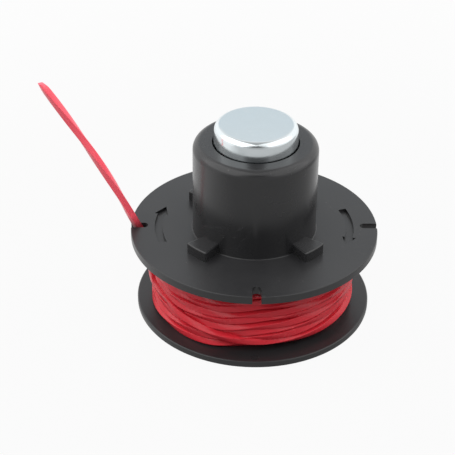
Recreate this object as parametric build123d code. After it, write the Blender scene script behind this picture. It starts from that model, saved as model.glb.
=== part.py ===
from build123d import *
import math
import os

# Trimmer line spool: a moulded spool, a pressed steel bump cap and the wound nylon line with its free end.
# Millimetres. +Z is the spool axis. The origin is the centre of the lower flange's underside.

# Flanges and the space between them
upper_flange_diameter = 80.0
upper_flange_thickness = 2.4
lower_flange_diameter = 76.8
lower_flange_thickness = 2.3
winding_space = 23.65
rim_bevel = 0.4

# Drum under the winding and hub above it, with one even wall around the hollow
drum_diameter = 44.0
hub_diameter = 39.8
hub_height = 31.3
wall = 2.2
hub_shoulder_round = 2.7
hub_foot_height = 4.0
hub_foot_flare = 0.15
hub_foot_bevel = 0.4
hollow_bevel = 1.0

# Bump cap, a drawn cup over the hub's spigot, flared down to a straight skirt in a groove
cap_diameter = 26.0
cap_flare = 0.45
cap_wall = 1.0
cap_edge_round = 1.5
cap_rise = 6.2
cap_skirt = 5.0
cap_gap = 0.3
spigot_fit = 0.1
groove_floor_gap = 0.5

# Stop lugs on the upper flange, around the hub's foot
lug_count = 4
lug_reach = 6.7
lug_height = 3.5
lug_spread = 18.5
lug_angle = 45.0
lug_bevel = 0.3

# Drive lugs inside the hollow's mouth
drive_lug_count = 4
drive_lug_reach = 2.0
drive_lug_height = 7.0
drive_lug_spread = 16.0
drive_lug_angle = 45.0

# Rim notches that hold the line's ends
notch_count = 4
notch_width = 2.8
notch_depth = 5.6

# Line, its turns on the drum and its anchor in the drum's wall
line_gauge = 2.4
turn_pitch = 2.55
turn_groove = 0.8
turn_unevenness = 0.6
winding_diameter = 67.6
winding_fit = 0.1
anchor_turn = 1
anchor_clearance = 0.4
anchor_end = 1.5

# Free end of the line: where it leaves the bundle, and its way up through the left notch
exit_turn = 3
exit_angle = 212.0
exit_spread = 29.0
exit_room = 0.1
exit_run = 8.4
tail_notch_setback = 2.7
tail_bends = [(2.0, -4.2, -14.05), (1.3, 0.0, -7.35)]
tail_rise = [(0.0, 0.15), (-13.6, 25.95), (-28.7, 50.95)]
bend_share = 0.45

# Cutting tools reach this far past the faces they cut
cut_margin = 1.0

# Radii and heights that follow from the sizes above
upper_radius = upper_flange_diameter / 2
lower_radius = lower_flange_diameter / 2
drum_radius = drum_diameter / 2
hub_radius = hub_diameter / 2
mouth_radius = drum_radius - wall
hollow_radius = hub_radius - wall
cap_radius = cap_diameter / 2
cap_inner_radius = cap_radius - cap_wall
skirt_radius = cap_radius + cap_flare
skirt_inner_radius = skirt_radius - cap_wall
groove_radius = skirt_radius + cap_gap
spigot_radius = cap_inner_radius - spigot_fit
pocket_radius = spigot_radius - wall
winding_radius = winding_diameter / 2

lower_flange_top = lower_flange_thickness
upper_flange_bottom = lower_flange_top + winding_space
upper_flange_top = upper_flange_bottom + upper_flange_thickness
hub_top = upper_flange_top + hub_height
cap_top = hub_top + cap_rise
cap_bottom = hub_top - cap_skirt
groove_floor = cap_bottom - groove_floor_gap
spigot_top = cap_top - cap_wall
hub_foot_top = upper_flange_top + hub_foot_height
mouth_top = upper_flange_top - wall
hollow_top = groove_floor - wall
pocket_top = spigot_top - wall

cap_inner_bevel = max(cap_edge_round - cap_wall, rim_bevel)
turn_count = int(winding_space // turn_pitch)


def turned(outline, rounds=(), bevels=()):
    """Revolve a half section given as (radius, height) points, with some of its corners rounded or bevelled."""
    section = make_face(Polyline(*outline, close=True))
    for corner, radius in rounds:
        section = fillet(section.vertices().sort_by_distance(corner)[0], radius)
    for corner, length in bevels:
        section = chamfer(section.vertices().sort_by_distance(corner)[0], length)
    return revolve(Plane.XZ * section, Axis.Z)


def sector(inner, outer, bottom, height, spread, angle):
    """A block between two radii, spread about an angle in degrees."""
    section = Pos((inner + outer) / 2, bottom + height / 2) * Rectangle(outer - inner, height)
    block = revolve(Plane.XZ * section, Axis.Z, spread)
    return Rot(0, 0, angle - spread / 2) * block


def around(piece, count, first_angle):
    """Copies of a piece, evenly spaced about the spool axis."""
    return [Rot(0, 0, first_angle + 360 * index / count) * piece for index in range(count)]


def spool_blank():
    """The turned form of the moulding: flanges, drum, hub with its shoulder, cap groove, spigot and hollow."""
    outline = [
        (mouth_radius, 0),
        (lower_radius, 0),
        (lower_radius, lower_flange_top),
        (drum_radius, lower_flange_top),
        (drum_radius, upper_flange_bottom),
        (upper_radius, upper_flange_bottom),
        (upper_radius, upper_flange_top),
        (hub_radius + hub_foot_flare, upper_flange_top),
        (hub_radius, hub_foot_top),
        (hub_radius, hub_top),
        (groove_radius, hub_top),
        (groove_radius, groove_floor),
        (spigot_radius, groove_floor),
        (spigot_radius, spigot_top),
        (0, spigot_top),
        (0, pocket_top),
        (pocket_radius, pocket_top),
        (pocket_radius, hollow_top),
        (hollow_radius, hollow_top),
        (hollow_radius, mouth_top),
        (mouth_radius, mouth_top),
    ]
    rounds = [((hub_radius, hub_top), hub_shoulder_round)]
    bevels = [
        ((hub_radius + hub_foot_flare, upper_flange_top), hub_foot_bevel),
        ((lower_radius, 0), rim_bevel),
        ((lower_radius, lower_flange_top), rim_bevel),
        ((upper_radius, upper_flange_bottom), rim_bevel),
        ((upper_radius, upper_flange_top), rim_bevel),
        ((spigot_radius, spigot_top), cap_inner_bevel + spigot_fit),
        ((hollow_radius, hollow_top), hollow_bevel),
    ]
    return turned(outline, rounds, bevels)


def stop_lug():
    """A block lug on the upper flange that runs into the hub's foot, with its top edges eased."""
    inner = hub_radius - wall / 2
    outer = hub_radius + lug_reach
    bottom = upper_flange_top - upper_flange_thickness / 2
    top = upper_flange_top + lug_height
    lug = sector(inner, outer, bottom, top - bottom, lug_spread, 0)
    top_face = lug.faces().sort_by(Axis.Z)[-1]
    inner_edge = top_face.edges().sort_by_distance((inner, 0, top))[0]
    return chamfer(top_face.edges() - ShapeList([inner_edge]), lug_bevel)


def drive_lug():
    """A lug on the drum's inner wall, at the hollow's mouth."""
    inner = mouth_radius - drive_lug_reach
    outer = mouth_radius + wall / 2
    return sector(inner, outer, 0, drive_lug_height, drive_lug_spread, 0)


def notch_cutter():
    """A slot with a round inner end, through the upper flange's rim."""
    end_radius = notch_width / 2
    end_center = upper_radius - notch_depth + end_radius
    run = notch_depth - end_radius + cut_margin
    outline = Pos(end_center, 0) * Circle(end_radius) + Pos(end_center + run / 2, 0) * Rectangle(run, notch_width)
    height = upper_flange_thickness + 2 * cut_margin
    return extrude(Pos(0, 0, upper_flange_bottom - cut_margin) * outline, height)


def anchor_height():
    return lower_flange_top + (anchor_turn + 0.5) * turn_pitch


def anchor_hole():
    """The hole in the drum's wall that takes the line's inner end, corner to corner."""
    radius = (line_gauge * math.sqrt(2) + anchor_clearance) / 2
    middle = drum_radius - wall / 2
    return Pos(middle, 0, anchor_height()) * Rot(0, 90, 0) * Cylinder(radius, wall + 2 * cut_margin)


def make_spool_body():
    body = spool_blank()
    body += around(stop_lug(), lug_count, lug_angle)
    body += around(drive_lug(), drive_lug_count, drive_lug_angle)
    body -= around(notch_cutter(), notch_count, 0)
    body -= anchor_hole()
    return body


def make_bump_cap():
    outline = [
        (0, spigot_top),
        (0, cap_top),
        (cap_radius, cap_top),
        (skirt_radius, hub_top),
        (skirt_radius, cap_bottom),
        (skirt_inner_radius, cap_bottom),
        (skirt_inner_radius, hub_top),
        (cap_inner_radius, spigot_top),
    ]
    rounds = [((cap_radius, cap_top), cap_edge_round)]
    bevels = [((cap_inner_radius, spigot_top), cap_inner_bevel)]
    return turned(outline, rounds, bevels)


def make_line_winding():
    """The wound line: a ridge for each turn of its outer layer, uneven as it was wound by hand."""
    inner = drum_radius + winding_fit
    outline = [(inner, lower_flange_top)]
    for turn in range(turn_count):
        crest = winding_radius - turn_unevenness * (2 * turn % 5) / 4
        low = lower_flange_top + turn * turn_pitch
        high = low + turn_pitch
        slope = turn_groove / 2
        outline += [(crest - turn_groove, low), (crest, low + slope), (crest, high - slope)]
    outline += [(winding_radius - turn_groove, high), (inner, high)]
    winding = turned(outline)

    # The last turn stops here, and the free end starts on the face that this leaves.
    pocket_floor = winding_radius - line_gauge - exit_room
    pocket_low = lower_flange_top + exit_turn * turn_pitch
    middle_angle = exit_angle - exit_spread / 2
    winding -= sector(
        pocket_floor, winding_radius + cut_margin, pocket_low, 2 * turn_pitch, exit_spread, middle_angle
    )

    # The line's inner end goes through the drum's wall and shows inside the mouth.
    end_outer = inner + line_gauge
    end_inner = mouth_radius - anchor_end
    end = Box(end_outer - end_inner, line_gauge, line_gauge)
    return winding + Pos((end_outer + end_inner) / 2, 0, anchor_height()) * end


def tail_route():
    """Hand-chosen points of the line's free end, hung on its exit from the bundle and on the left notch."""
    exit_radius = winding_radius - line_gauge / 2
    exit_height = lower_flange_top + (exit_turn + 0.5) * turn_pitch
    turn = math.radians(exit_angle)
    start = Vector(exit_radius * math.cos(turn), exit_radius * math.sin(turn), exit_height)
    leaving = Vector(math.sin(turn), -math.cos(turn), 0)
    in_notch = Vector(tail_notch_setback - upper_radius, 0, upper_flange_top)
    points = [start, start + leaving * exit_run]
    points += [in_notch + Vector(*bend) for bend in tail_bends]
    points += [in_notch + Vector(out, 0, up) for out, up in tail_rise]
    return points


def bend_radii(points):
    """The largest arc that each corner's two runs leave room for."""
    radii = []
    for before, corner, after in zip(points, points[1:], points[2:]):
        run_in = corner - before
        run_out = after - corner
        half_turn = math.radians(run_in.get_angle(run_out)) / 2
        radii.append(bend_share * min(run_in.length, run_out.length) / math.tan(half_turn))
    return radii


def make_line_tail():
    points = tail_route()
    radii = bend_radii(points)
    path = FilletPolyline(*points, radius=radii)
    start = Plane(origin=path @ 0, z_dir=path % 0)
    tail = sweep(start * Circle(line_gauge / 2), path=path)
    section = math.pi * line_gauge**2 / 4
    print("tail points", [tuple(round(value, 2) for value in point) for point in points])
    print("tail radii", [round(radius, 1) for radius in radii])
    print("tail length", round(path.length, 2), "volume over section times length", tail.volume / section / path.length)
    return tail


os.makedirs("parts", exist_ok=True)
export_step(make_spool_body(), "parts/spool_body.step")
export_step(make_bump_cap(), "parts/bump_cap.step")
export_step(make_line_winding(), "parts/line_winding.step")
export_step(make_line_tail(), "parts/line_tail.step")
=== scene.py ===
import math
import random

import bmesh
import bpy
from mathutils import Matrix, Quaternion, Vector


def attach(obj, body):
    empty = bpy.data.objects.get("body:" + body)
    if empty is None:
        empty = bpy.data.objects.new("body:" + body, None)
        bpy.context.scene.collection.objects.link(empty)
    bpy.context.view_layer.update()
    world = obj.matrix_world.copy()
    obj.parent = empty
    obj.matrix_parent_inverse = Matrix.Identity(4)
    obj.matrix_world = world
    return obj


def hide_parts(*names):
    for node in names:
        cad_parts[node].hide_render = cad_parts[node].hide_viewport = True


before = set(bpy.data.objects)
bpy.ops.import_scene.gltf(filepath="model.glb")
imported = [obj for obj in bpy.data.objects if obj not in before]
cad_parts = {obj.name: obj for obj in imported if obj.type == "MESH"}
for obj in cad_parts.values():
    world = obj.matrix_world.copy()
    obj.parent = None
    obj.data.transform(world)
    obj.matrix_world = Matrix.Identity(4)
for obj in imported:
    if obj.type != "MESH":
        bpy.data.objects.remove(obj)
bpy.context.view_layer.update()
mm = 0.001  # sizes below are in millimetres, Blender works in metres
onAxis = 1e-6  # a profile point nearer the axis than this is a pole
print("frame loaded:", sorted(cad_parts))


# Small mesh helpers

def ease(value, start, end):  # 0 before start, 1 after end, smooth between
    share = min(max((value - start) / (end - start), 0.0), 1.0)
    return share * share * (3 - 2 * share)


def polar(radius, degrees, height=0.0):
    turn = math.radians(degrees)
    return Vector((radius * math.cos(turn), radius * math.sin(turn), height))


def flatPoints(points):
    return [(p.x, p.y) for p in points]


def roundedProfile(corners):  # corners are (radius, height, round, steps)
    points = []
    for index, (radius, height, bend, steps) in enumerate(corners):
        corner = Vector((radius, height))
        if bend == 0:
            points.append(corner)
            continue
        into = (Vector(corners[index - 1][:2]) - corner).normalized()
        out = (Vector(corners[index + 1][:2]) - corner).normalized()
        half = into.angle(out) / 2
        centre = corner + (into + out).normalized() * (bend / math.sin(half))
        first = corner + into * (bend / math.tan(half)) - centre
        last = corner + out * (bend / math.tan(half)) - centre
        begin = math.atan2(first.y, first.x)
        sweep = (math.atan2(last.y, last.x) - begin + math.pi) % (2 * math.pi) - math.pi
        for step in range(steps + 1):
            turn = begin + sweep * step / steps
            points.append(centre + Vector((math.cos(turn), math.sin(turn))) * bend)
    return points


def boxProfile(inner, outer, bottom, top):  # square section of a plain ring
    return [(inner, bottom), (outer, bottom), (outer, top), (inner, top)]


def spinProfile(bm, profile, segments, closed=False):
    angles = [360 * s / segments for s in range(segments)]
    rings = []
    for radius, height in profile:
        if radius < onAxis:
            rings.append([bm.verts.new((0, 0, height * mm))])
        else:
            rings.append([bm.verts.new(polar(radius, angle, height) * mm) for angle in angles])
    pairs = list(zip(rings, rings[1:]))
    if closed:
        pairs.append((rings[-1], rings[0]))
    for low, high in pairs:
        for s in range(segments):
            t = (s + 1) % segments
            loop = [low[s % len(low)], low[t % len(low)], high[t % len(high)], high[s % len(high)]]
            bm.faces.new(list(dict.fromkeys(loop)))  # poles drop their doubled corner
    bmesh.ops.recalc_face_normals(bm, faces=bm.faces[:])


def extrudeOutline(bm, outline, bottom, top):  # outline is flat points in millimetres
    low = [bm.verts.new(Vector((x, y, bottom)) * mm) for x, y in outline]
    high = [bm.verts.new(Vector((x, y, top)) * mm) for x, y in outline]
    bm.faces.new(low)
    bm.faces.new(high)
    for index in range(len(low)):
        after = (index + 1) % len(low)
        bm.faces.new((low[index], low[after], high[after], high[index]))


def sectorOutline(inner, outer, middle, spread, steps=12):
    angles = [middle - spread / 2 + spread * s / steps for s in range(steps + 1)]
    return flatPoints([polar(outer, a) for a in angles] + [polar(inner, a) for a in reversed(angles)])


def meshObject(name, bm):
    bmesh.ops.recalc_face_normals(bm, faces=bm.faces[:])
    mesh = bpy.data.meshes.new(name)
    bm.to_mesh(mesh)
    bm.free()
    piece = bpy.data.objects.new(name, mesh)
    bpy.context.scene.collection.objects.link(piece)
    return piece


def settleModifiers(piece):  # bake the modifier stack into the mesh
    graph = bpy.context.evaluated_depsgraph_get()
    mesh = bpy.data.meshes.new_from_object(piece.evaluated_get(graph))
    piece.modifiers.clear()
    old = piece.data
    piece.data = mesh
    bpy.data.meshes.remove(old)


def carve(piece, tool, operation):
    cut = piece.modifiers.new("carve", "BOOLEAN")
    cut.object = tool
    cut.operation = operation
    cut.solver = "EXACT"
    settleModifiers(piece)
    bpy.data.objects.remove(tool)


def shade(piece, sharpDegrees, weighted=True):
    mesh = piece.data
    mesh.polygons.foreach_set("use_smooth", [True] * len(mesh.polygons))
    mesh.set_sharp_from_angle(angle=math.radians(sharpDegrees))
    if weighted:
        even = piece.modifiers.new("even", "WEIGHTED_NORMAL")
        even.keep_sharp = True
        settleModifiers(piece)


def place(piece, slotName, material, *nodes):
    piece.data.materials.clear()
    piece.data.materials.append(material)
    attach(piece, "root")
    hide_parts(*nodes)


# Node helpers

def addNode(tree, kind, inputs=None, **settings):  # an input is a value or another node's socket
    node = tree.nodes.new(kind)
    for name, value in settings.items():
        setattr(node, name, value)
    for name, value in (inputs or {}).items():
        socket = node.inputs[name]
        if isinstance(value, bpy.types.NodeSocket):
            tree.links.new(value, socket)
        else:
            socket.default_value = value
    return node


def doMath(tree, operation, first, second=0.0, clamp=False):
    node = addNode(tree, "ShaderNodeMath", {0: first, 1: second}, operation=operation, use_clamp=clamp)
    return node.outputs[0]


def mixColour(tree, share, first, second):  # sockets 6 and 7 are the Mix node's two colours
    node = addNode(tree, "ShaderNodeMix", data_type="RGBA", inputs={0: share, 6: first, 7: second})
    return node.outputs[2]


def tint(tree, colour, mask, share, tone):  # the tone over the colour where the mask is
    return mixColour(tree, doMath(tree, "MULTIPLY", mask, share), colour, tone)


def remap(tree, value, low, high, toLow=0.0, toHigh=1.0):
    node = addNode(tree, "ShaderNodeMapRange", {0: value, 1: low, 2: high, 3: toLow, 4: toHigh})
    return node.outputs[0]


def noise(tree, coords, scale, detail):
    node = addNode(tree, "ShaderNodeTexNoise", {"Vector": coords, "Scale": scale, "Detail": detail})
    return node.outputs["Fac"]


def dotProduct(tree, first, second):
    node = addNode(tree, "ShaderNodeVectorMath", {0: first, 1: second}, operation="DOT_PRODUCT")
    return node.outputs["Value"]


def splitXyz(tree, coords):
    return addNode(tree, "ShaderNodeSeparateXYZ", {0: coords}).outputs


# Surface effects that the materials share

def newGroup(name, inputs, outputs):
    group = bpy.data.node_groups.new(name, "ShaderNodeTree")
    group.interface.new_socket("Vector", in_out="INPUT", socket_type="NodeSocketVector")
    for socketName, value in inputs.items():
        socket = group.interface.new_socket(socketName, in_out="INPUT", socket_type="NodeSocketFloat")
        socket.default_value = value
    for socketName in outputs:
        group.interface.new_socket(socketName, in_out="OUTPUT", socket_type="NodeSocketFloat")
    given = group.nodes.new("NodeGroupInput").outputs
    result = group.nodes.new("NodeGroupOutput").inputs
    return group, given, result


grainBands = {"rare": (0.78, 0.8), "cloud": (0.32, 0.68)}  # only the palest cells have a speck
scuffBands = {"hair": (0.62, 0.72), "patchScale": 55.0, "worn": (0.0, 0.15)}
wearBands = {"edge": (0.975, 0.85), "patch": (0.42, 0.62)}


def grainGroup():  # fine surface grain, slow cloudiness and sparse specks
    scales = {"Grain Scale": 3000.0, "Cloud Scale": 90.0, "Speck Scale": 420.0, "Speck Size": 0.09}
    group, given, result = newGroup("surfaceGrain", scales, ["Height", "Cloud", "Speck"])
    coords = given["Vector"]
    fine = noise(group, coords, given["Grain Scale"], 2.0)
    slow = noise(group, coords, given["Cloud Scale"], 4.0)
    spread = {"Vector": coords, "Scale": given["Speck Scale"]}
    cells = addNode(group, "ShaderNodeTexVoronoi", spread).outputs
    rare = remap(group, cells["Color"], *grainBands["rare"])
    near = doMath(group, "LESS_THAN", cells["Distance"], given["Speck Size"])
    group.links.new(fine, result["Height"])
    group.links.new(remap(group, slow, *grainBands["cloud"]), result["Cloud"])
    group.links.new(doMath(group, "MULTIPLY", near, rare), result["Speck"])
    return group


def scuffGroup():  # fine handling marks in two directions, broken up by a slow mask
    group, given, result = newGroup("handlingScuffs", {"Scale": 160.0, "Cover": 0.5}, ["Scuff"])
    coords = given["Vector"]
    directions = [  # turn, and stretch along the marks
        ((0.3, 0.2, 0.9), (0.12, 3.0, 3.0)),
        ((0.9, 0.4, -0.5), (3.0, 0.16, 3.0)),
    ]
    marks = []
    for turn, stretch in directions:
        turned = addNode(group, "ShaderNodeMapping", {"Vector": coords, "Rotation": turn}).outputs[0]
        laid = addNode(group, "ShaderNodeMapping", {"Vector": turned, "Scale": stretch}).outputs[0]
        hair = noise(group, laid, given["Scale"], 5.0)
        marks.append(remap(group, hair, *scuffBands["hair"]))
    patch = noise(group, coords, scuffBands["patchScale"], 2.0)
    worn = doMath(group, "SUBTRACT", patch, doMath(group, "SUBTRACT", 1.0, given["Cover"]))
    both = doMath(group, "MAXIMUM", marks[0], marks[1])
    shown = doMath(group, "MULTIPLY", both, remap(group, worn, *scuffBands["worn"]), clamp=True)
    group.links.new(shown, result["Scuff"])
    return group


def wearGroup():  # edges rubbed a little paler
    group, given, result = newGroup("edgeWear", {"Radius": 0.0004, "Breakup Scale": 300.0}, ["Wear"])
    soft = addNode(group, "ShaderNodeBevel", {"Radius": given["Radius"]}, samples=6).outputs[0]
    plain = addNode(group, "ShaderNodeNewGeometry").outputs["Normal"]
    edge = remap(group, dotProduct(group, soft, plain), *wearBands["edge"])
    patch = noise(group, given["Vector"], given["Breakup Scale"], 3.0)
    shown = doMath(group, "MULTIPLY", edge, remap(group, patch, *wearBands["patch"]))
    group.links.new(shown, result["Wear"])
    return group


surfaceGrain = grainGroup()
handlingScuffs = scuffGroup()
edgeWear = wearGroup()


def newMaterial(name):
    material = bpy.data.materials.new(name)
    material.use_nodes = True
    tree = material.node_tree
    shader = tree.nodes["Principled BSDF"]
    coords = addNode(tree, "ShaderNodeTexCoord").outputs["Object"]
    return material, tree, shader, coords


def useGroup(tree, group, coords, values):
    return addNode(tree, "ShaderNodeGroup", {"Vector": coords, **values}, node_tree=group).outputs


def bumpInto(tree, shader, height, strength, distance):
    bump = addNode(tree, "ShaderNodeBump", {"Height": height, "Strength": strength, "Distance": distance})
    tree.links.new(bump.outputs[0], shader.inputs["Normal"])


# Moulded plastic, zinc plate and nylon line

blackPlasticLook = {
    "dark": (0.0165, 0.0165, 0.0175, 1), "pale": (0.0205, 0.0205, 0.0215, 1),
    "rubbed": (0.05, 0.05, 0.052, 1), "scuffShare": 0.25, "wearShare": 0.5,
    "dust": (0.13, 0.125, 0.12, 1), "dustShare": 0.35,
    "roughness": (0.21, 0.285), "scuffRough": 0.1,
    "flangeRough": 0.08, "hubStart": (0.0284, 0.0292),  # flanges are moulded duller than the hub
    "grain": {"Grain Scale": 2600.0, "Cloud Scale": 70.0},
    "scuffs": {"Scale": 150.0, "Cover": 0.46},
    "wear": {"Radius": 0.00035, "Breakup Scale": 260.0},
    "bump": (0.12, 0.00006), "ior": 1.53,
}


def makeBlackPlastic(look):
    material, tree, shader, coords = newMaterial("blackPlastic")
    grain = useGroup(tree, surfaceGrain, coords, look["grain"])
    scuffs = useGroup(tree, handlingScuffs, coords, look["scuffs"])
    wear = useGroup(tree, edgeWear, coords, look["wear"])
    colour = mixColour(tree, grain["Cloud"], look["dark"], look["pale"])
    colour = tint(tree, colour, scuffs["Scuff"], look["scuffShare"], look["rubbed"])
    colour = tint(tree, colour, wear["Wear"], look["wearShare"], look["rubbed"])
    colour = tint(tree, colour, grain["Speck"], look["dustShare"], look["dust"])
    tree.links.new(colour, shader.inputs["Base Color"])
    rough = remap(tree, grain["Cloud"], 0.0, 1.0, *look["roughness"])
    rough = doMath(tree, "ADD", rough, doMath(tree, "MULTIPLY", scuffs["Scuff"], look["scuffRough"]))
    height = splitXyz(tree, coords)["Z"]
    rough = doMath(tree, "ADD", rough, remap(tree, height, *look["hubStart"], look["flangeRough"], 0.0))
    tree.links.new(rough, shader.inputs["Roughness"])
    shader.inputs["IOR"].default_value = look["ior"]
    bumpInto(tree, shader, grain["Height"], *look["bump"])
    return material


zincLook = {
    "bright": (0.81, 0.865, 0.885, 1), "dull": (0.78, 0.84, 0.86, 1),
    "rubbed": (0.86, 0.89, 0.9, 1), "wearShare": 0.5,
    "stain": (0.38, 0.41, 0.42, 1), "stainShare": 0.3,
    "roughness": (0.13, 0.18), "scuffRough": 0.12,
    "grain": {"Grain Scale": 1800.0, "Cloud Scale": 210.0, "Speck Scale": 650.0},
    "scuffs": {"Scale": 260.0, "Cover": 0.55},
    "wear": {"Radius": 0.0005, "Breakup Scale": 420.0},
    "bump": (0.1, 0.00005),
}


def makeZincSteel(look):
    material, tree, shader, coords = newMaterial("zincSteel")
    grain = useGroup(tree, surfaceGrain, coords, look["grain"])
    scuffs = useGroup(tree, handlingScuffs, coords, look["scuffs"])
    wear = useGroup(tree, edgeWear, coords, look["wear"])
    colour = mixColour(tree, grain["Cloud"], look["bright"], look["dull"])
    colour = tint(tree, colour, wear["Wear"], look["wearShare"], look["rubbed"])
    colour = tint(tree, colour, grain["Speck"], look["stainShare"], look["stain"])
    tree.links.new(colour, shader.inputs["Base Color"])
    rough = remap(tree, grain["Cloud"], 0.0, 1.0, *look["roughness"])
    rough = doMath(tree, "ADD", rough, doMath(tree, "MULTIPLY", scuffs["Scuff"], look["scuffRough"]))
    tree.links.new(rough, shader.inputs["Roughness"])
    shader.inputs["Metallic"].default_value = 1.0
    bumpInto(tree, shader, grain["Height"], *look["bump"])
    return material


lineFinish = {  # for the bundle and the free end alike
    "run": (60.0, 26.0, 1.0), "streaks": (0.3, 0.7),  # drawn streaks, long along the line
    "scuffShare": 0.15, "ior": 1.53,
    "grain": {"Grain Scale": 2200.0, "Cloud Scale": 120.0},
    "scuffs": {"Scale": 210.0, "Cover": 0.5},
}
# the bundle's red is painted darker than the line's own colour, as painted shade under the upper flange
woundLineLook = {
    "deep": (0.56, 0.018, 0.03, 1), "clear": (0.635, 0.031, 0.046, 1), "rubbed": (0.82, 0.15, 0.17, 1),
    "roughness": (0.2, 0.3), "gloss": 0.28, "bump": (0.12, 0.00008),
}
freeLineLook = {  # the free end is a painted lit copy of the line's red, brighter than the bundle, as it stands with light all round it
    "deep": (0.95, 0.085, 0.125, 1), "clear": (0.98, 0.12, 0.16, 1), "rubbed": (0.96, 0.2, 0.23, 1),
    "roughness": (0.28, 0.38), "gloss": 0.5, "bump": (0.1, 0.00008),
    "bundled": (woundLineLook["deep"], woundLineLook["clear"]), "bundledBelow": (0.029, 0.0255),
    # painted shade: a dark red band by height where the line goes down into the notch
    "paintedShade": (0.2, 0.012, 0.018, 1), "paintedShadeTop": (0.0325, 0.0285), "paintedShadeFoot": (0.0235, 0.0265),
}


def makeRedLine(look, name):
    material, tree, shader, coords = newMaterial(name)
    run = addNode(tree, "ShaderNodeUVMap", uv_map="lineRun").outputs[0]  # along and around the line
    drawn = addNode(tree, "ShaderNodeMapping", {"Vector": run, "Scale": lineFinish["run"]}).outputs[0]
    streaks = noise(tree, drawn, 1.0, 3.0)
    streaked = remap(tree, streaks, *lineFinish["streaks"])
    grain = useGroup(tree, surfaceGrain, coords, lineFinish["grain"])
    scuffs = useGroup(tree, handlingScuffs, coords, lineFinish["scuffs"])
    colour = mixColour(tree, streaked, look["deep"], look["clear"])
    colour = tint(tree, colour, scuffs["Scuff"], lineFinish["scuffShare"], look["rubbed"])
    if "paintedShade" in look:  # painted shade where the line goes down into the notch, and below it the bundle's colour, itself painted darker as shade
        height = splitXyz(tree, coords)["Z"]
        bundled = mixColour(tree, streaked, *look["bundled"])
        colour = mixColour(tree, remap(tree, height, *look["bundledBelow"]), colour, bundled)
        below = remap(tree, height, *look["paintedShadeTop"])
        above = remap(tree, height, *look["paintedShadeFoot"])
        colour = tint(tree, colour, below, above, look["paintedShade"])
    tree.links.new(colour, shader.inputs["Base Color"])
    rough = remap(tree, grain["Cloud"], 0.0, 1.0, *look["roughness"])
    tree.links.new(rough, shader.inputs["Roughness"])
    shader.inputs["IOR"].default_value = lineFinish["ior"]
    shader.inputs["Specular IOR Level"].default_value = look["gloss"]
    bumpInto(tree, shader, streaks, *look["bump"])
    return material


blackPlastic = makeBlackPlastic(blackPlasticLook)
zincSteel = makeZincSteel(zincLook)
woundLine = makeRedLine(woundLineLook, "woundLine")
freeLine = makeRedLine(freeLineLook, "freeLine")
print("materials ready")


# Camera at the photograph's place

cameraLook = {
    "place": (-13.356, -382.452, 274.963), "aim": (-8.639, -0.462, 27.806), "roll": 0.628,
    "lens": 110.77, "sensor": 36.0, "clip": (0.01, 20.0),
}


def makeCamera(look):
    data = bpy.data.cameras.new("photoCamera")
    data.lens = look["lens"]
    data.sensor_width = look["sensor"]
    data.clip_start, data.clip_end = look["clip"]
    camera = bpy.data.objects.new("photoCamera", data)
    bpy.context.scene.collection.objects.link(camera)
    camera.location = Vector(look["place"]) * mm
    ahead = Vector(look["aim"]) * mm - camera.location
    camera.rotation_mode = "QUATERNION"
    lean = Quaternion((0, 0, 1), math.radians(look["roll"]))
    camera.rotation_quaternion = ahead.to_track_quat("-Z", "Y") @ lean
    bpy.context.scene.camera = camera


makeCamera(cameraLook)
print("camera ready")


# Square trimmer line: the free end and the bundle

lineSize = {"side": 2.1, "corner": 0.25, "quarterTwist": 26.8, "sharp": 60.0}


def lineSection(size):  # rounded square, four points to a corner
    flat = size["side"] / 2 - size["corner"]
    points = []
    for quarter in range(4):
        corner = polar(flat * math.sqrt(2), 45 + 90 * quarter)
        points += [corner + polar(size["corner"], 90 * quarter + 30 * step) for step in range(4)]
    return flatPoints(points)


def lineTube(bm, path, normals, twists, scales=None):  # path in millimetres, twists in degrees
    runLayer = bm.loops.layers.uv.get("lineRun") or bm.loops.layers.uv.new("lineRun")
    section = lineSection(lineSize)
    rings = []
    runs = []
    total = 0.0
    for index, point in enumerate(path):
        after = path[min(index + 1, len(path) - 1)]
        before = path[max(index - 1, 0)]
        ahead = (after - before).normalized()
        normal = (normals[index] - ahead * normals[index].dot(ahead)).normalized()
        across = ahead.cross(normal)
        turn = math.radians(twists[index])
        u = normal * math.cos(turn) + across * math.sin(turn)
        v = across * math.cos(turn) - normal * math.sin(turn)
        scale = scales[index] if scales else 1.0
        corners = [point + (u * x + v * y) * scale for x, y in section]
        if scales and index == len(path) - 1:  # snipped level, so the end is a slanting point
            corners = [c + ahead * ((point.z - c.z) / ahead.z) for c in corners]
        rings.append([bm.verts.new(c * mm) for c in corners])
        total += (point - before).length
        runs.append(total * mm)
    count = len(section)
    for low, high, start, end in zip(rings, rings[1:], runs, runs[1:]):
        for s in range(count):
            t = (s + 1) % count
            face = bm.faces.new((low[s], low[t], high[t], high[s]))
            around = ((start, s), (start, s + 1), (end, s + 1), (end, s))
            for loop, (along, step) in zip(face.loops, around):
                loop[runLayer].uv = (along, step / count)
    bm.faces.new(list(reversed(rings[0])))
    bm.faces.new(rings[-1])


tailLook = {
    "route": [  # the part's points, the hidden ones nearer the bundle, with two more on the long rise
        (-27.65, -17.28, 11.22), (-31.6, -10.9, 11.3), (-33.3, -5.2, 13.6), (-33.7, -0.9, 21.0),
        (-38.25, 0.0, 28.75), (-43.4, 0.0, 40.25), (-50.8, 0.0, 54.35), (-58.5, 0.0, 67.5),
        (-65.95, 0.0, 79.5),
    ],
    "steps": 14, "snipRoom": 1.0,  # points to a span, and the room kept for the slanting snip
    "flatAt": 23.4, "flatTurn": 24.0,  # a flat side faces the viewer this far from the tip, at this turn
    "quarterTwist": 25.0,
    "pinched": 0.64, "pinchedOver": (-0.5, 2.6),  # the snipped tip is pinched to this share
    "length": 0.0892, "diameter": 0.0024,
}


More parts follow.
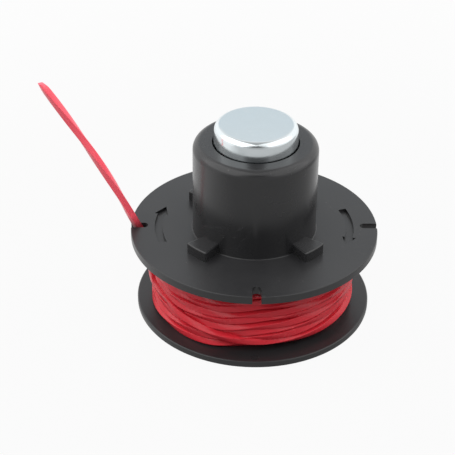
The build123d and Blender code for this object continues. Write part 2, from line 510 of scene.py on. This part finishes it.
def splinePoints(name, route, resolution):  # points along the route's smooth curve
    data = bpy.data.curves.new(name, "CURVE")
    data.dimensions = "3D"
    data.resolution_u = resolution
    spline = data.splines.new("NURBS")
    spline.points.add(len(route) - 1)
    for point, spot in zip(spline.points, route):
        point.co = (*(Vector(spot) * mm), 1)
    spline.order_u = 3
    spline.use_endpoint_u = True
    guide = bpy.data.objects.new(name, data)
    bpy.context.scene.collection.objects.link(guide)
    bpy.context.view_layer.update()
    graph = bpy.context.evaluated_depsgraph_get()
    mesh = bpy.data.meshes.new_from_object(guide.evaluated_get(graph))
    points = [v.co / mm for v in mesh.vertices]
    bpy.data.objects.remove(guide)
    bpy.data.curves.remove(data)
    bpy.data.meshes.remove(mesh)
    return points


def carryNormals(path, first):  # one normal per point, carried along without spin
    normals = [first]
    for before, after in zip(path, path[1:]):
        ahead = (after - before).normalized()
        last = normals[-1]
        normals.append((last - ahead * last.dot(ahead)).normalized())
    return normals


def makeTail(look):
    path = splinePoints("tailGuide", look["route"], look["steps"])
    while (path[-1] - path[-2]).length < look["snipRoom"]:
        path.pop(-2)
    outward = Vector((path[0].x, path[0].y, 0)).normalized()
    normals = carryNormals(path, outward)
    toTip = [0.0]
    for before, after in zip(reversed(path[:-1]), reversed(path[1:])):
        toTip.append(toTip[-1] + (after - before).length)
    toTip.reverse()
    twists = []
    for index, normal in enumerate(normals):  # turns are counted from a level direction square to the rise
        after = path[min(index + 1, len(path) - 1)]
        before = path[max(index - 1, 0)]
        ahead = (after - before).normalized()
        level = ahead.cross(Vector((0, 1, 0))).normalized()
        normal = (normal - ahead * normal.dot(ahead)).normalized()
        offset = math.degrees(math.atan2(level.dot(ahead.cross(normal)), level.dot(normal)))
        quarters = (toTip[index] - look["flatAt"]) / look["quarterTwist"]
        twists.append(offset + look["flatTurn"] + 90 * quarters)
    for index in range(1, len(twists)):  # no sudden half turns between neighbours
        while twists[index] - twists[index - 1] > 180:
            twists[index] -= 360
        while twists[index] - twists[index - 1] < -180:
            twists[index] += 360
    pinched = look["pinched"]
    scales = [pinched + (1 - pinched) * ease(distance, *look["pinchedOver"]) for distance in toTip]
    bm = bmesh.new()
    lineTube(bm, path, normals, twists, scales)
    tail = meshObject("lineTail", bm)
    shade(tail, lineSize["sharp"], weighted=False)
    place(tail, "red_line", freeLine, "line_tail")
    return path, twists[0]


tailPath, tailTwist = makeTail(tailLook)
print("free end ready")


bundleLook = {
    "seed": 11, "low": 3.55, "pitch": 2.28, "step": 2.6, "turns": 8,
    "press": 0.8, "pressReach": (1.0, 3.4), "tailPoints": 40,  # turns give way under others
    "outer": {
        "radius": 32.25, "strayOut": 0.35, "strayUp": 0.5,
        "start": -116.0, "surface": -70.0, "sunk": 2.4,  # starts below the surface
        "lap": 130.0, "drop": 2.1, "dropAt": (81.0, 114.0), "restAt": (60.0, 130.0),  # a lap drops in front
        "slack": 1.5, "slackAt": -25.0, "slackReach": 55.0, "slackBelow": (5.0, 16.0),  # slipped in
    },
    "last": {  # climbs over the others to the free end
        "join": 50.0, "crosses": -88.0,
        "rows": [  # angle, radius and height
            (-148, 32.6, 11.22), (-144, 32.8, 11.1), (-137, 33.2, 10.5), (-126, 33.4, 9.3),
            (-114, 33.3, 7.9), (-98, 32.8, 6.6), (-81, 32.3, 5.9), (0, 31.9, 5.7), (130, 31.9, 5.8),
        ],
    },
    "lowest": {  # has slipped inwards at the front
        "start": 144.0, "sweep": 374.0, "sunk": 1.2, "sunkFrom": 130.0, "down": 0.1, "sway": 0.12,
        "rows": [  # angle and radius
            (-230, 32.4), (-145, 32.6), (-128, 32.6), (-112, 32.0), (-98, 29.6),
            (-77, 27.5), (-52, 28.8), (-25, 30.8), (60, 31.6), (130, 32.4),
        ],
    },
    "inner": {"radius": 30.6, "start": 40.0, "turns": 8.4, "up": 1.6, "stray": 0.2},
    "anchor": {"start": 18.3, "end": 25.0, "height": 6.125, "turn": 12.0, "twist": 4.0},
    "packed": {"inner": 22.05, "outer": 27.4, "bottom": 2.4, "top": 25.6, "segments": 96},  # out of sight
}


def smoothTable(rows, value):  # a smooth curve through the rows of a table
    if value <= rows[0][0]:
        return rows[0][1:]
    if value >= rows[-1][0]:
        return rows[-1][1:]
    index = max(i for i in range(len(rows) - 1) if rows[i][0] <= value)
    before, here = rows[max(index - 1, 0)], rows[index]
    there, after = rows[index + 1], rows[min(index + 2, len(rows) - 1)]
    span = there[0] - here[0]
    s = (value - here[0]) / span
    result = []
    for column in range(1, len(here)):
        slopeHere = (there[column] - before[column]) / (there[0] - before[0]) * span
        slopeThere = (after[column] - here[column]) / (after[0] - here[0]) * span
        result.append(
            here[column] * (2 * s**3 - 3 * s**2 + 1) + slopeHere * (s**3 - 2 * s**2 + s)
            + there[column] * (3 * s**2 - 2 * s**3) + slopeThere * (s**3 - s**2)
        )
    return tuple(result)


def waver(draw, count=4):  # a slow seeded wave along the line, from -1 to 1
    waves = []
    for _ in range(count):
        rate = draw.uniform(0.35, 2.6)
        start = draw.uniform(0, 2 * math.pi)
        waves.append((rate, start, draw.uniform(0.5, 1.0)))
    top = sum(size for _, _, size in waves)
    return lambda degrees: sum(
        size * math.sin(math.radians(degrees) * rate + start) for rate, start, size in waves
    ) / top


def layOuterTurns(look, draw):  # wound downwards, with most of a lap's drop in front
    outer = look["outer"]
    strayOut, strayUp = waver(draw), waver(draw)
    rows = []
    travelled = outer["start"]
    while travelled < 360 * look["turns"]:
        angle = outer["lap"] - travelled % 360
        level = look["turns"] - travelled // 360
        height = look["low"] + look["pitch"] * level + outer["drop"] * (1 - ease(-angle, *outer["dropAt"]))
        height += (look["pitch"] - outer["drop"]) * ease(angle, *outer["restAt"])
        radius = outer["radius"] - outer["sunk"] * (1 - ease(travelled, outer["start"], outer["surface"]))
        radius += outer["strayOut"] * strayOut(travelled)
        slack = outer["slack"] * (1 - ease(abs(angle - outer["slackAt"]), 0, outer["slackReach"]))
        radius -= slack * (1 - ease(height, *outer["slackBelow"]))
        rows.append((outer["lap"] - travelled, radius, height + outer["strayUp"] * strayUp(travelled)))
        travelled += look["step"]
    return rows


def layLastTurn(look, before):  # carries on from the outer turns up to the free end
    last = look["last"]
    laps = 360 * look["turns"]
    startAngle, startRadius, startHeight = before
    endAngle, endRadius, endHeight = last["rows"][0]
    rows = []
    turned = startAngle - look["step"]
    while turned > endAngle - laps:
        share = ease(startAngle - turned, 0, last["join"])
        radius, height = smoothTable(last["rows"], turned + laps)
        radius = startRadius + (radius - startRadius) * share
        rows.append((turned, radius, startHeight + (height - startHeight) * share))
        turned -= look["step"]
    rows.append((endAngle - laps, endRadius, endHeight))
    return rows


def layLowestTurn(look, draw):
    lowest = look["lowest"]
    sway = waver(draw)
    rows = []
    for step in range(int(lowest["sweep"] / look["step"])):
        angle = lowest["start"] - look["step"] * step
        radius = smoothTable(lowest["rows"], angle)[0]
        radius -= lowest["sunk"] * ease(angle, lowest["sunkFrom"], lowest["start"])
        rows.append((angle, radius, look["low"] - lowest["down"] + lowest["sway"] * sway(2 * angle)))
    return rows


def layInnerTurns(look, draw):
    inner = look["inner"]
    strayOut, strayUp = waver(draw), waver(draw)
    rows = []
    for step in range(int(360 * inner["turns"] / look["step"])):
        angle = inner["start"] + look["step"] * step
        radius = inner["radius"] + inner["stray"] * strayOut(angle)
        height = look["low"] + inner["up"] + look["pitch"] * look["step"] * step / 360
        rows.append((angle, radius, height + inner["stray"] * strayUp(angle)))
    return rows


def pressUnder(rows, over, depth, reach):  # turns are pushed inwards where others lie on them
    pressed = []
    for angle, radius, height in rows:
        spot = polar(radius, angle, height)
        near = min((spot - other).length for other in over)
        pressed.append((angle, radius - depth * (1 - ease(near, *reach)), height))
    return pressed


def layTube(bm, rows, endTwist):
    path = [polar(radius, angle, height) for angle, radius, height in rows]
    normals = [polar(1.0, angle) for angle, _, _ in rows]
    twists = [endTwist]
    for before, after in zip(reversed(path[:-1]), reversed(path[1:])):
        twists.append(twists[-1] + 90 * (after - before).length / lineSize["quarterTwist"])
    twists.reverse()
    lineTube(bm, path, normals, twists)


def layAnchor(bm, anchor, points=5):  # inner end of the line, through the drum's wall
    reach = anchor["end"] - anchor["start"]
    along = [anchor["start"] + reach * s / (points - 1) for s in range(points)]
    path = [Vector((x, 0, anchor["height"])) for x in along]
    twists = [anchor["turn"] + anchor["twist"] * s for s in range(points)]
    lineTube(bm, path, [Vector((0, 0, 1))] * points, twists)


def makeWinding(look):
    draw = random.Random(look["seed"])
    bm = bmesh.new()
    outer = layOuterTurns(look, draw)
    last = layLastTurn(look, outer[-1])
    crossing = look["last"]["crosses"] - 360 * look["turns"]
    over = [polar(radius, angle, height) for angle, radius, height in last if angle < crossing]
    over += tailPath[:look["tailPoints"]]
    outer = pressUnder(outer, over, look["press"], look["pressReach"])
    layTube(bm, outer + last, tailTwist)
    layTube(bm, layLowestTurn(look, draw), draw.uniform(0, 90))
    layTube(bm, layInnerTurns(look, draw), draw.uniform(0, 90))
    layAnchor(bm, look["anchor"])
    packed = look["packed"]
    block = boxProfile(packed["inner"], packed["outer"], packed["bottom"], packed["top"])
    spinProfile(bm, block, packed["segments"], closed=True)
    winding = meshObject("lineWinding", bm)
    shade(winding, lineSize["sharp"], weighted=False)
    place(winding, "red_line", woundLine, "line_winding")


makeWinding(bundleLook)
print("bundle ready")


# Black moulded spool

spoolSize = {
    "upperRadius": 40.0, "lowerRadius": 38.4, "drumRadius": 22.0, "hubRadius": 19.9, "footRadius": 20.05,
    "mouthRadius": 19.8, "hollowRadius": 17.7, "grooveRadius": 13.75, "spigotRadius": 11.9,
    "pocketRadius": 9.7,
    "lowerTop": 2.3, "upperBottom": 25.7, "upperTop": 28.35, "footTop": 32.35, "hubTop": 59.65,
    "grooveFloor": 54.15, "spigotTop": 64.85, "mouthTop": 26.15, "hollowTop": 51.95, "pocketTop": 62.65,
    "segments": 240, "sharp": 32.0,
    "lugs": {"inner": 18.8, "outer": 26.6, "bottom": 27.2, "top": 31.85, "spread": 18.5, "eased": 0.45},
    "driveLugs": {"inner": 17.8, "outer": 20.9, "bottom": 0.0, "top": 7.0, "spread": 16.0},
    "notches": {"width": 2.8, "inner": 34.4, "outer": 42.0},
    "arrows": {
        "inner": 29.7, "outer": 32.3, "barbIn": 28.9, "barbOut": 33.4,
        "tail": 19.0, "base": -12.5, "tip": -21.5, "depth": 1.0,
    },
    "anchorHole": {"radius": 1.9, "depth": 4.2, "middle": (20.9, 0.0, 6.125), "segments": 32},
    "ringMark": {"out": 36.2, "outer": 1.15, "inner": 0.85, "depth": 0.16, "top": 4.0, "segments": 32},
}


def spoolBlank(size):
    corners = [
        (0, size["pocketTop"], 0, 0),
        (size["pocketRadius"], size["pocketTop"], 0.4, 3),
        (size["pocketRadius"], size["hollowTop"], 0.4, 3),
        (size["hollowRadius"], size["hollowTop"], 1.0, 4),
        (size["hollowRadius"], size["mouthTop"], 0.3, 3),
        (size["mouthRadius"], size["mouthTop"], 0.4, 3),
        (size["mouthRadius"], 0, 0.3, 3),
        (size["lowerRadius"], 0, 0.5, 4),
        (size["lowerRadius"], size["lowerTop"], 0.5, 4),
        (size["drumRadius"], size["lowerTop"], 0.3, 2),
        (size["drumRadius"], size["upperBottom"], 0.3, 2),
        (size["upperRadius"], size["upperBottom"], 0.15, 2),
        (size["upperRadius"], size["upperTop"], 0.3, 3),
        (size["footRadius"], size["upperTop"], 0.3, 3),
        (size["hubRadius"], size["footTop"], 0, 0),
        (size["hubRadius"], size["hubTop"], 2.7, 14),
        (size["grooveRadius"], size["hubTop"], 0.25, 3),
        (size["grooveRadius"], size["grooveFloor"], 0.2, 2),
        (size["spigotRadius"], size["grooveFloor"], 0.2, 2),
        (size["spigotRadius"], size["spigotTop"], 0.5, 3),
        (0, size["spigotTop"], 0, 0),
    ]
    bm = bmesh.new()
    spinProfile(bm, roundedProfile(corners), size["segments"])
    return meshObject("spoolBody", bm)


def lugBlocks(lug):  # four blocks, midway between the notches
    bm = bmesh.new()
    for quarter in range(4):
        outline = sectorOutline(lug["inner"], lug["outer"], 45 + 90 * quarter, lug["spread"])
        extrudeOutline(bm, outline, lug["bottom"], lug["top"])
    return bm


def easeLugs(bm, lug):  # round the top and upright edges, but not where the lug meets the hub
    bmesh.ops.recalc_face_normals(bm, faces=bm.faces[:])
    corner = 1.0  # an edge turns by more than this, in radians
    inside = (lug["inner"] + 0.3) * mm
    nearTop = (lug["top"] - 0.1) * mm
    edges = [e for e in bm.edges if e.is_manifold and e.calc_face_angle() > corner
             and all(v.co.z > nearTop for v in e.verts)
             and not all(v.co.xy.length < inside for v in e.verts)]
    edges += [e for e in bm.edges if abs(e.verts[0].co.z - e.verts[1].co.z) > 1 * mm
              and e.calc_face_angle() > corner and e.verts[0].co.xy.length > inside]
    bmesh.ops.bevel(bm, geom=edges, offset=lug["eased"] * mm, segments=3, profile=0.5, affect="EDGES")


def addLugs(spool, size):
    bm = lugBlocks(size["lugs"])
    easeLugs(bm, size["lugs"])
    carve(spool, meshObject("stopLugs", bm), "UNION")
    carve(spool, meshObject("driveLugs", lugBlocks(size["driveLugs"])), "UNION")


def notchOutline(notch, degrees):
    half = notch["width"] / 2
    middle = notch["inner"] + half
    points = [Vector((notch["outer"], -half, 0)), Vector((notch["outer"], half, 0))]
    points += [Vector((middle, 0, 0)) + polar(half, 90 + 15 * s) for s in range(13)]
    turn = Quaternion((0, 0, 1), math.radians(degrees))
    return flatPoints([turn @ p for p in points])


def arrowOutline(arrow, start, steps=14):
    shaft = arrow["base"] - arrow["tail"]
    sweep = [arrow["tail"] + shaft * s / steps for s in range(steps + 1)]
    points = [polar(arrow["outer"], start + a) for a in sweep]
    points += [polar(arrow["barbOut"], start + arrow["base"])]
    points += [polar((arrow["inner"] + arrow["outer"]) / 2, start + arrow["tip"])]
    points += [polar(arrow["barbIn"], start + arrow["base"])]
    points += [polar(arrow["inner"], start + a) for a in reversed(sweep)]
    return flatPoints(points)


def cutNotches(spool, size):
    bottom, top = size["upperBottom"] - 1, size["upperTop"] + 1  # past both faces of the flange
    bm = bmesh.new()
    for quarter in range(4):
        extrudeOutline(bm, notchOutline(size["notches"], 90 * quarter), bottom, top)
    sunk = size["upperTop"] - size["arrows"]["depth"]
    for start in (0, 180):  # two arrows show which way the line is wound
        extrudeOutline(bm, arrowOutline(size["arrows"], start), sunk, top)
    carve(spool, meshObject("notches", bm), "DIFFERENCE")


def cutAnchorHole(spool, hole):
    bm = bmesh.new()
    radius = hole["radius"] * mm
    along = Quaternion((0, 1, 0), math.radians(90)).to_matrix().to_4x4()
    bmesh.ops.create_cone(bm, cap_ends=True, segments=hole["segments"], radius1=radius, radius2=radius,
                          depth=hole["depth"] * mm, matrix=along)
    bmesh.ops.translate(bm, verts=bm.verts[:], vec=Vector(hole["middle"]) * mm)
    carve(spool, meshObject("anchorHole", bm), "DIFFERENCE")


def cutRingMark(spool, size):  # a moulder's plain ring at the front of the lower flange
    mark = size["ringMark"]
    ring = boxProfile(mark["inner"], mark["outer"], size["lowerTop"] - mark["depth"], mark["top"])
    bm = bmesh.new()
    spinProfile(bm, ring, mark["segments"], closed=True)
    bmesh.ops.translate(bm, verts=bm.verts[:], vec=Vector((0, -mark["out"], 0)) * mm)
    carve(spool, meshObject("ringMark", bm), "DIFFERENCE")


def makeSpool(size):
    spool = spoolBlank(size)
    addLugs(spool, size)
    cutNotches(spool, size)
    cutAnchorHole(spool, size["anchorHole"])
    cutRingMark(spool, size)
    shade(spool, size["sharp"])
    place(spool, "black_plastic", blackPlastic, "spool_body")


makeSpool(spoolSize)
print("spool ready")


# Zinc-plated bump cap

capSize = {
    "radius": 13.12, "skirtRadius": 13.42, "wall": 1.0, "round": 2.1,
    "top": 65.85, "under": 64.85, "flareEnd": 59.65, "bottom": 54.65,
    "segments": 192, "sharp": 40.0,
}


def makeCap(size):
    inner = size["radius"] - size["wall"]
    skirtInner = size["skirtRadius"] - size["wall"]
    corners = [
        (0, size["under"], 0, 0),
        (inner, size["under"], 0.5, 4),
        (skirtInner, size["flareEnd"], 0, 0),
        (skirtInner, size["bottom"], 0.2, 2),
        (size["skirtRadius"], size["bottom"], 0.3, 3),
        (size["skirtRadius"], size["flareEnd"], 2.0, 3),
        (size["radius"], size["top"], size["round"], 14),
        (0, size["top"], 0, 0),
    ]
    bm = bmesh.new()
    spinProfile(bm, roundedProfile(corners), size["segments"])
    cap = meshObject("bumpCap", bm)
    shade(cap, size["sharp"])
    place(cap, "zinc_steel", zincSteel, "bump_cap")


makeCap(capSize)
print("cap ready")


# Floor, light and background

def seenRays(tree):  # rays that see the background straight, and those that see it off a gloss
    path = addNode(tree, "ShaderNodeLightPath").outputs
    straight = doMath(tree, "MAXIMUM", path["Is Camera Ray"], path["Is Transmission Ray"])
    return straight, path["Is Glossy Ray"]


floorLook = {
    "colour": (0.22, 0.22, 0.22, 1), "roughness": 0.9, "radius": 4.0, "segments": 96,
    "white": 0.94, "whiteFrom": (0.12, 0.45),  # share of white near the spool, rising to all of it
    "mirrored": (0.3, 1.0), "mirroredFrom": (-0.05, 0.055), "slant": 0.6,  # brighter towards the backdrop
}


def makeFloor(look):
    bm = bmesh.new()
    bmesh.ops.create_circle(bm, cap_ends=True, segments=look["segments"], radius=look["radius"])
    floor = meshObject("studioFloor", bm)
    material, tree, shader, coords = newMaterial("paleFloor")
    shader.inputs["Base Color"].default_value = look["colour"]
    shader.inputs["Roughness"].default_value = look["roughness"]
    shader.inputs["Specular IOR Level"].default_value = 0.0
    white = addNode(tree, "ShaderNodeEmission", {"Color": (1, 1, 1, 1), "Strength": 1.0}).outputs[0]
    reach = addNode(tree, "ShaderNodeVectorMath", {0: coords}, operation="LENGTH").outputs["Value"]
    far = remap(tree, reach, *look["whiteFrom"], look["white"], 1.0)
    spot = splitXyz(tree, coords)
    behind = doMath(tree, "SUBTRACT", spot["Y"], doMath(tree, "MULTIPLY", spot["X"], look["slant"]))
    mirrored = remap(tree, behind, *look["mirroredFrom"], *look["mirrored"])
    straight, glossy = seenRays(tree)
    shown = doMath(tree, "MAXIMUM", straight, doMath(tree, "MULTIPLY", glossy, mirrored))
    share = doMath(tree, "MULTIPLY", far, shown)
    blend = addNode(tree, "ShaderNodeMixShader", {0: share, 1: shader.outputs[0], 2: white})
    tree.links.new(blend.outputs[0], tree.nodes["Material Output"].inputs["Surface"])
    floor.data.materials.append(material)


worldLook = {  # a pair after each name is where, in the ray's direction, the change begins and ends
    "white": (1.0, 1.0, 1.0, 1), "backdrop": (0.73, 0.805, 0.85, 1), "upper": (0.9, 0.905, 0.92, 1),
    "backdropAim": (0.0, 0.84, 0.54), "backdropFrom": (0.925, 0.97), "upperFrom": (0.485, 0.535),
    "glow": (0.93, 0.42), "overheadAim": (0.0, -0.55, 0.83), "overheadFrom": (0.2, 0.6),  # dimmer overhead
    "sideGlow": 1.2, "sideFrom": (0.22, 0.4),  # the tent's sides are its brightest part
    "opening": 0.14, "openingAim": (0.0, -0.656, 0.755), "openingFrom": (0.895, 0.957),  # above the viewer
    "fill": (0.05, 1.3), "fillFrom": (0.25, 0.9),  # soft light from above
    "backFill": 0.9, "backFillFrom": (0.1, 0.8),  # and off the backdrop
    "sideFill": 0.75, "sideFillFrom": (0.3, 0.8), "sideFillRise": (0.1, 0.4),  # and from the tent's sides
}


def makeWorld(look):
    world = bpy.data.worlds.new("studioWorld")
    world.use_nodes = True
    bpy.context.scene.world = world
    tree = world.node_tree
    back = tree.nodes["Background"]
    aim = addNode(tree, "ShaderNodeTexCoord").outputs["Generated"]
    way = splitXyz(tree, aim)
    aside = doMath(tree, "ABSOLUTE", way["X"])
    tone = mixColour(tree, remap(tree, way["Z"], *look["upperFrom"]), look["backdrop"], look["upper"])
    facing = dotProduct(tree, aim, look["backdropAim"])
    colour = mixColour(tree, remap(tree, facing, *look["backdropFrom"]), look["white"], tone)
    tree.links.new(colour, back.inputs["Color"])
    glow = remap(tree, dotProduct(tree, aim, look["overheadAim"]), *look["overheadFrom"], *look["glow"])
    glow = doMath(tree, "MULTIPLY", glow, remap(tree, aside, *look["sideFrom"], 1.0, look["sideGlow"]))
    gap = dotProduct(tree, aim, look["openingAim"])
    glow = doMath(tree, "MULTIPLY", glow, remap(tree, gap, *look["openingFrom"], 1.0, look["opening"]))
    fill = remap(tree, way["Z"], *look["fillFrom"], *look["fill"])
    fill = doMath(tree, "ADD", fill, remap(tree, way["Y"], *look["backFillFrom"], 0.0, look["backFill"]))
    beside = remap(tree, aside, *look["sideFillFrom"], 0.0, look["sideFill"])
    beside = doMath(tree, "MULTIPLY", beside, remap(tree, way["Z"], *look["sideFillRise"]))
    fill = doMath(tree, "ADD", fill, beside)
    straight, glossy = seenRays(tree)
    light = remap(tree, glossy, 0.0, 1.0, fill, glow)
    tree.links.new(remap(tree, straight, 0.0, 1.0, light, 1.0), back.inputs["Strength"])


lampLook = {
    "turn": 72.0, "rise": 52.0, "away": 0.7, "aim": (0.0, 0.0, 0.03), "wide": 1.0, "tall": 0.8,
    "left": 3.0, "right": 2.0,  # strengths
}


def makeLamp(look, name, side):  # a soft box beside the viewer, -1 left or 1 right
    data = bpy.data.lights.new(name, "AREA")
    data.shape = "RECTANGLE"
    data.size = look["wide"]
    data.size_y = look["tall"]
    data.energy = look[name]
    lamp = bpy.data.objects.new(name, data)
    bpy.context.scene.collection.objects.link(lamp)
    rise = math.radians(look["rise"])
    level = look["away"] * math.cos(rise)
    lamp.location = polar(level, -90 + side * look["turn"], look["away"] * math.sin(rise))
    lamp.rotation_mode = "QUATERNION"
    lamp.rotation_quaternion = (Vector(look["aim"]) - lamp.location).to_track_quat("-Z", "Y")
    lamp.visible_camera = False


makeFloor(floorLook)
makeWorld(worldLook)
makeLamp(lampLook, "left", -1)
makeLamp(lampLook, "right", 1)
bpy.context.scene.view_settings.view_transform = "Standard"
print("studio ready")
